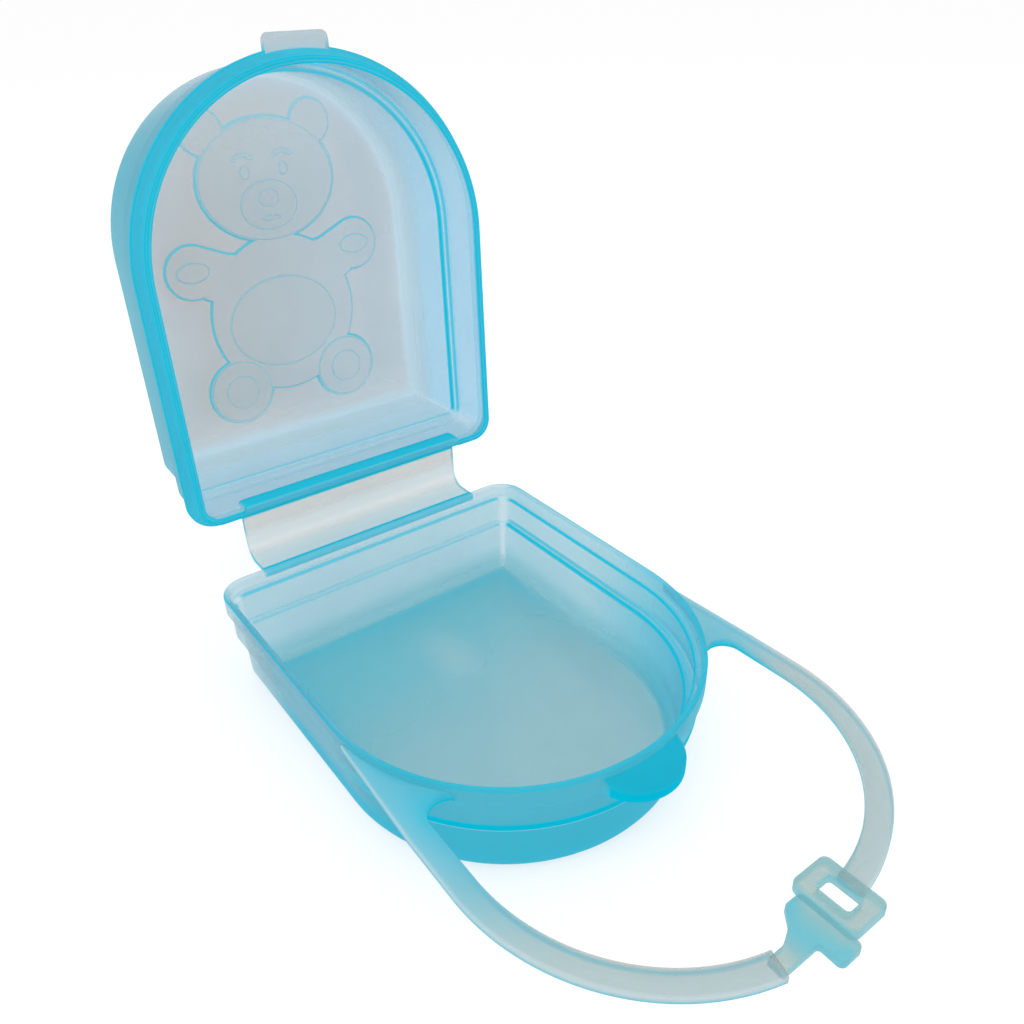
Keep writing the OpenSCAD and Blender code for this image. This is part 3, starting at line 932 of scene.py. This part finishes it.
def build_arm(name, reach, end_x, side, angle):
    """One arm of the carry loop with its root web; side is 1 on the right and -1 on the left."""
    rows = arm_edges(reach, end_x)
    vertices = []
    paint = []
    mid_z = (ARM_TOP + ARM_LOW) / 2
    for outer, inner in rows:
        width = (outer - inner).length
        across = (outer - inner).normalized()
        middle = (outer + inner) / 2
        radius = min(ARM_ROUND, 0.45 * width)
        ring = rounded_box(width, ARM_T, radius)
        for s, h in ring:
            x, y = middle + across * s
            vertices.append(tilt((side * x, y, mid_z + h), angle))
            paint.append(arm_paint(y, s, h, (width / 2 - abs(s)) / (radius + 0.12), side))
    return new_piece(name, vertices, tube_faces(len(rows), len(ring), side < 0), paint)


# The tone of a plate's edge, and the gap between two points of its outline
PLATE_EDGE_TONE = 0.42
PLATE_GAP = 0.5
SQUARE = ((-1, -1), (1, -1), (1, 1), (-1, 1))


def outward(loop, i, sign):
    """Direction away from the plate at point i of an outline; sign is -1 for a hole."""
    along = (Vector(loop[(i + 1) % len(loop)]) - Vector(loop[i - 1])).normalized()
    return Vector((along.y, -along.x)) * sign


def plate_levels(low, high, radius, steps=4):
    """(inset, height, share of the edge's tone) from the lower face up the rounded rim to the upper one."""
    rim = []
    for i in range(steps + 1):
        a = pi / 2 * i / steps
        rim.append((radius * (1 - sin(a)), radius * (1 - cos(a)), i / steps))
    lower = [(inset, low + rise, share) for inset, rise, share in rim]
    return lower + [(inset, high - rise, share) for inset, rise, share in reversed(rim)]


def outline_plate(name, outline, low, high, radius, base, hole=None, angle=0.0):
    """A flat plate with rounded rims from an outline, and one hole if given; base(x) is its tone."""
    loops = [(outline, 1)] if hole is None else [(outline, 1), (hole, -1)]
    levels = plate_levels(low, high, radius)
    vertices = []
    paint = []
    faces = []
    guard = []
    firsts = []
    for loop, sign in loops:
        first = len(vertices)
        firsts.append(first)
        normals = [outward(loop, i, sign) for i in range(len(loop))]
        # A line of points on the two flat faces keeps the edge's tone near the edge
        guard += [Vector(p) - normal * (radius + EDGE_FADE) for p, normal in zip(loop, normals)]
        for inset, z, tone in levels:
            for point, normal in zip(loop, normals):
                x, y = Vector(point) - normal * inset
                vertices.append((x, y, z))
                paint.append((max(base(x), PLATE_EDGE_TONE * tone), 0.0, 0.0))
        faces += band_faces(first, len(levels), len(loop), sign < 0)
    for level, flip in ((0, True), (-1, False)):
        z = levels[level][1]
        rings = []
        for first, (loop, _) in zip(firsts, loops):
            start = first + level % len(levels) * len(loop)
            rings.append([(k, vertices[k][:2]) for k in range(start, start + len(loop))])
        fill_cap(
            (vertices, faces, paint), rings, [],
            lambda spots: [((x, y, z), (base(x), 0.0, 0.0)) for x, y in spots],
            (guard, ()), flip,
        )
    return new_piece(name, [tilt(v, angle) for v in vertices], faces, paint)


def rounded_outline(corners, steps=6):
    """Closed outline whose corners (x, y, radius) are rounded, counter-clockwise."""
    points = []
    at = [Vector(c[:2]) for c in corners]
    for k, corner in enumerate(corners):
        arc, _ = corner_arc(at[k - 1], at[k], at[(k + 1) % len(at)], corner[2], steps)
        points += [tuple(spot) for spot in arc]
    # Long sides get points of their own
    out = []
    for a, b in zip(points, points[1:] + points[:1]):
        parts = max(1, round(hypot(b[0] - a[0], b[1] - a[1]) / PLATE_GAP))
        for i in range(parts):
            out.append((a[0] + (b[0] - a[0]) * i / parts, a[1] + (b[1] - a[1]) * i / parts))
    return out


def build_tongue():
    """The tongue's neck and T-shaped head, a flat plate tilted like the left arm."""
    mid_r = LOOP_R - ARM_W / 2
    neck_y = FRONT_Y - LEFT_REACH - sqrt(mid_r**2 - (NECK_X + LOOP_SPREAD) ** 2)
    x0 = NECK_X - 0.6
    x1 = HEAD_END_X - HEAD_L
    outline = rounded_outline([
        (x0, neck_y - NECK_W / 2, 0.2),
        (x1, neck_y - NECK_W / 2, 0.5),
        (x1, neck_y - HEAD_W / 2, 0.8),
        (HEAD_END_X, neck_y - HEAD_W / 2, 0.8),
        (HEAD_END_X, neck_y + HEAD_W / 2, 0.9),
        (HEAD_END_X - HEAD_L / 2 - 1, neck_y + HEAD_W / 2, 0.8),
        (x1 - 0.8, neck_y + NECK_W / 2 + 1.2, 1.5),
        (NECK_X + 2, neck_y + NECK_W / 2, 1.5),
        (x0, neck_y + NECK_W / 2, 0.2),
    ])

    def base(x):
        return 0.5 * smooth(x, NECK_X + 1, NECK_X + 4.5) * (1 - smooth(x, -1.5, 0.5))

    return outline_plate("clasp_tongue_tip", outline, ARM_LOW, ARM_TOP, 0.3, base, angle=ARM_TILT)


def rectangle(x, y, length, width, radius):
    """Outline of a rectangle round (x, y) with rounded corners."""
    return rounded_outline([
        (x + across * length / 2, y + along * width / 2, radius)
        for across, along in SQUARE
    ])


def build_buckle():
    """The buckle plate with its slot."""
    y = FRONT_Y - RIGHT_REACH - (LOOP_R - ARM_W / 2)
    outline = rectangle(BUCKLE_X, y, BUCKLE_L, BUCKLE_W, 1.0)
    slot = rectangle(BUCKLE_X, y, SLOT_L, SLOT_W, 0.5)
    low = ARM_LOW + BUCKLE_RAISE
    return outline_plate(
        "clasp_buckle_plate", outline, low, low + BUCKLE_T, 0.35, lambda x: 0.0, slot, -ARM_TILT
    )


# Materials

# Tint and scattered colour of the tight edges and thick places
EDGE_TINT = (0.03, 0.82, 0.91)
EDGE_MILK = (0.0, 0.54, 0.72)
# Scattered colour of the painted whitish highlights
PAINTED_HIGHLIGHT_MILK = (0.86, 0.87, 0.88)
# What a shadow keeps of the light that goes through one skin
SHADOW_TINT = (0.93, 0.925, 0.925)
# What the plastic's depth keeps of the light
DEPTH_TINT = (0.0, 0.68, 0.87)
# How much more the edges and the painted highlights scatter than the face
TONE_DENSITY = 0.7
PAINTED_HIGHLIGHT_DENSITY = 0.4
# The largest share of light that the gloss gives back, and how much of it the edge colour takes away
GLOSS_MOST = 0.3
GLOSS_LOSS = 0.95


def plastic(name, face, side, haze, rough, absorb):
    """Moulded see-through plastic. Its tint and milkiness are (tint, milk) pairs: face where the layers are
    0, side where veil is 1, and the edge colour where tone is 1."""
    material = bpy.data.materials.new(name)
    material.use_nodes = True
    tree = material.node_tree
    tree.nodes.clear()
    link = tree.links.new

    def node(kind, sockets=()):
        made = tree.nodes.new(kind)
        for key, value in dict(sockets).items():
            made.inputs[key].default_value = value
        return made

    def layer(name):
        made = node("ShaderNodeAttribute")
        made.attribute_name = name
        return made.outputs["Fac"]

    def feed(socket, value):
        if isinstance(value, float):
            socket.default_value = value
        elif isinstance(value, tuple):
            socket.default_value = (*value, 1)
        else:
            link(value, socket)

    def mix_colour(share, a, b):
        made = node("ShaderNodeMix")
        made.data_type = "RGBA"
        for key, value in (("Factor", share), ("A", a), ("B", b)):
            feed(made.inputs[key], value)
        return made.outputs["Result"]

    def mix_shader(share, a, b):
        made = node("ShaderNodeMixShader")
        for socket, value in zip(made.inputs, (share, a.outputs[0], b.outputs[0])):
            feed(socket, value)
        return made

    def maths(kind, *values):
        made = node("ShaderNodeMath")
        made.operation = kind
        made.use_clamp = True
        for socket, value in zip(made.inputs, values):
            feed(socket, value)
        return made.outputs[0]

    tone, veil, painted_highlight = [layer(name) for name in LAYERS]

    # What goes straight through
    tint = mix_colour(tone, mix_colour(veil, face[0], side[0]), EDGE_TINT)
    clear = node("ShaderNodeBsdfTransparent")
    # The painted highlights clear the tint toward white
    link(mix_colour(painted_highlight, tint, (1.0, 1.0, 1.0)), clear.inputs["Color"])

    # What the milky plastic scatters, half to each side
    milk = mix_colour(tone, mix_colour(veil, face[1], side[1]), EDGE_MILK)
    # The painted highlights turn the scattered colour whitish
    milk = mix_colour(painted_highlight, milk, PAINTED_HIGHLIGHT_MILK)
    near = node("ShaderNodeBsdfDiffuse")
    far = node("ShaderNodeBsdfTranslucent")
    for shader in (near, far):
        link(milk, shader.inputs["Color"])
    scatter = mix_shader(0.5, near, far)

    # The haze varies softly from place to place
    place = node("ShaderNodeTexCoord")
    cloud = node("ShaderNodeTexNoise", {"Scale": 70.0, "Detail": 3.0, "Roughness": 0.55})
    link(place.outputs["Object"], cloud.inputs["Vector"])
    amount = node(
        "ShaderNodeMapRange",
        {"From Min": 0.3, "From Max": 0.7, "To Min": haze * 0.85, "To Max": haze * 1.15},
    )
    link(cloud.outputs["Fac"], amount.inputs["Value"])
    density = amount.outputs["Result"]
    for source, gain in ((tone, TONE_DENSITY), (painted_highlight, PAINTED_HIGHLIGHT_DENSITY)):
        density = maths("MULTIPLY_ADD", source, gain, density)
    inside = mix_shader(density, clear, scatter)

    # Gloss on the outward faces, weaker where the edge colour is dense
    gloss = node("ShaderNodeBsdfGlossy", {"Roughness": rough})
    fresnel = node("ShaderNodeFresnel", {"IOR": 1.42})
    outward_side = maths("SUBTRACT", 1.0, node("ShaderNodeNewGeometry").outputs["Backfacing"])
    share = maths("MULTIPLY", maths("MINIMUM", fresnel.outputs["Fac"], GLOSS_MOST), outward_side)
    share = maths("MULTIPLY", share, maths("MULTIPLY_ADD", tone, -GLOSS_LOSS, 1.0))
    last = mix_shader(share, inside, gloss)

    # Light goes through to what lies behind with little colour, so that the shadows stay grey
    through = node("ShaderNodeBsdfTransparent", {"Color": (*SHADOW_TINT, 1)})
    path = node("ShaderNodeLightPath")
    for ray in ("Is Diffuse Ray", "Is Shadow Ray"):
        last = mix_shader(path.outputs[ray], last, through)
    volume = node("ShaderNodeVolumeAbsorption", {"Color": (*DEPTH_TINT, 1), "Density": absorb})
    output = node("ShaderNodeOutputMaterial")
    link(last.outputs[0], output.inputs["Surface"])
    link(volume.outputs[0], output.inputs["Volume"])
    return material


def tray_plastic():
    face = ((0.71, 0.81, 0.82), (0.36, 0.55, 0.59))
    side = ((0.83, 0.9, 0.93), (0.43, 0.63, 0.74))
    return plastic("shell_plastic", face, side, haze=0.2, rough=0.16, absorb=100.0)


def lid_plastic():
    face = ((0.76, 0.72, 0.71), (0.41, 0.47, 0.49))
    side = ((0.8, 0.88, 0.94), (0.42, 0.61, 0.77))
    return plastic("lid_plastic", face, side, haze=0.22, rough=0.16, absorb=100.0)


def strap_plastic():
    face = ((0.9, 0.86, 0.84), (0.58, 0.6, 0.6))
    side = ((0.84, 0.88, 0.89), (0.54, 0.66, 0.7))
    return plastic("strap_plastic", face, side, haze=0.25, rough=0.2, absorb=120.0)


# The arms and the clasp share the tint of their thick places
LOOP_SIDE = ((0.6, 0.84, 0.88), (0.2, 0.55, 0.66))


def arm_plastic():
    face = ((0.94, 0.84, 0.8), (0.52, 0.54, 0.52))
    return plastic("arm_plastic", face, LOOP_SIDE, haze=0.35, rough=0.2, absorb=160.0)


def clasp_plastic():
    face = ((0.86, 0.83, 0.79), (0.44, 0.55, 0.52))
    return plastic("clasp_plastic", face, LOOP_SIDE, haze=0.35, rough=0.2, absorb=160.0)


# The pieces in their materials, with what they stand for and how they move


def dress_tray():
    tray = build_tray()
    tray.data.materials.append(tray_plastic())
    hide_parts("tray", "tray_hinge_bar", "thumb_block")
    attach(tray, "tray_body")


def dress_lid():
    lid = build_lid()
    lid.data.materials.append(lid_plastic())
    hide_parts("lid", "lid_hinge_bar", "thumb_tab", "bear_relief")
    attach(lid, "lid_body")


def dress_strap():
    strap = build_strap()
    strap.data.materials.append(strap_plastic())
    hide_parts("strap_tray_half", "strap_lid_half")
    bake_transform(strap)


def dress_arms():
    band = arm_plastic()
    left = build_arm("left_arm_band", LEFT_REACH, -NECK_X, -1, ARM_TILT)
    right = build_arm("right_arm_band", RIGHT_REACH, BUCKLE_X + BUCKLE_L / 2 - 0.4, 1, -ARM_TILT)
    for piece, body, nodes in (
        (left, "left_arm_body", ("left_arm_root", "left_arm")),
        (right, "right_arm_body", ("right_arm_root", "right_arm")),
    ):
        piece.data.materials.append(band)
        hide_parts(*nodes)
        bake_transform(piece)


def dress_clasp():
    solid = clasp_plastic()
    tongue = build_tongue()
    tongue.data.materials.append(solid)
    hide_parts("clasp_tongue")
    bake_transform(tongue)
    buckle = build_buckle()
    buckle.data.materials.append(solid)
    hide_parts("clasp_buckle")
    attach(buckle, "right_arm_body")


# Floor, light and camera


FLOOR_HALF = 20.0


def build_floor():
    """A wide pale floor just under the case."""
    mesh = bpy.data.meshes.new("floor")
    corners = [(x * FLOOR_HALF, y * FLOOR_HALF, 0) for x, y in SQUARE]
    mesh.from_pydata(corners, [], [(0, 1, 2, 3)])
    floor = add_object("floor", mesh)
    floor.location.z = -0.0001
    material = bpy.data.materials.new("floor_paper")
    material.use_nodes = True
    tree = material.node_tree
    tree.nodes.clear()
    paper = tree.nodes.new("ShaderNodeBsdfDiffuse")
    paper.inputs["Color"].default_value = (0.93, 0.93, 0.93, 1)
    output = tree.nodes.new("ShaderNodeOutputMaterial")
    tree.links.new(paper.outputs[0], output.inputs["Surface"])
    mesh.materials.append(material)


def build_world():
    """Soft light from all round, with a white background and a dimmer one for the gloss."""
    world = bpy.data.worlds.new("studio")
    bpy.context.scene.world = world
    world.use_nodes = True
    tree = world.node_tree
    tree.nodes.clear()
    link = tree.links.new

    def glow(strength):
        made = tree.nodes.new("ShaderNodeBackground")
        made.inputs["Color"].default_value = (1, 1, 1, 1)
        made.inputs["Strength"].default_value = strength
        return made

    last = glow(1.06)
    path = tree.nodes.new("ShaderNodeLightPath")
    for ray, strength in (("Is Glossy Ray", 0.85), ("Is Camera Ray", 1.0)):
        pick = tree.nodes.new("ShaderNodeMixShader")
        link(path.outputs[ray], pick.inputs["Fac"])
        link(last.outputs[0], pick.inputs[1])
        link(glow(strength).outputs[0], pick.inputs[2])
        last = pick
    output = tree.nodes.new("ShaderNodeOutputWorld")
    link(last.outputs[0], output.inputs["Surface"])


def area_light(name, place, size, power, aim=(0, 0, 0.03)):
    """A square soft light that looks at the case."""
    data = bpy.data.lights.new(name, "AREA")
    data.size = size
    data.energy = power
    lamp = add_object(name, data)
    lamp.location = place
    lamp.rotation_euler = (Vector(aim) - Vector(place)).to_track_quat("-Z", "Y").to_euler()


# The camera's place in millimetres, its heading from +Y toward +X, how far it looks down and its roll
CAMERA_AT = (-66.441, -97.719, 108.743)
CAMERA_AZIMUTH = 36.391
CAMERA_DOWN = 30.704
CAMERA_ROLL = -1.0295
FOCAL_PIXELS = 920.32
PHOTO_PIXELS = 1024
SENSOR_MM = 36


def build_camera():
    """The photograph's camera, found from points of the case traced in it."""
    az = radians(CAMERA_AZIMUTH)
    el = radians(CAMERA_DOWN)
    roll = radians(CAMERA_ROLL)
    ahead = Vector((sin(az) * cos(el), cos(az) * cos(el), -sin(el)))
    right = Vector((cos(az), -sin(az), 0))
    down = ahead.cross(right)
    across = cos(roll) * right - sin(roll) * down
    below = sin(roll) * right + cos(roll) * down
    pose = Matrix((across, -below, -ahead)).transposed().to_4x4()
    pose.translation = Vector(CAMERA_AT) * MM
    data = bpy.data.cameras.new("camera")
    data.sensor_width = SENSOR_MM
    data.lens = FOCAL_PIXELS / PHOTO_PIXELS * SENSOR_MM
    data.clip_start = 0.001
    camera = add_object("camera", data)
    camera.matrix_world = pose
    bpy.context.scene.camera = camera


build_camera()
build_world()
build_floor()
area_light("key", (-0.25, -0.1, 0.55), size=0.35, power=0.6)
area_light("fill", (0.5, -0.4, 0.35), size=0.5, power=0.3)
dress_tray()
dress_lid()
dress_strap()
dress_arms()
dress_clasp()

scene = bpy.context.scene
scene.view_settings.view_transform = "Standard"
scene.cycles.transparent_max_bounces = 32
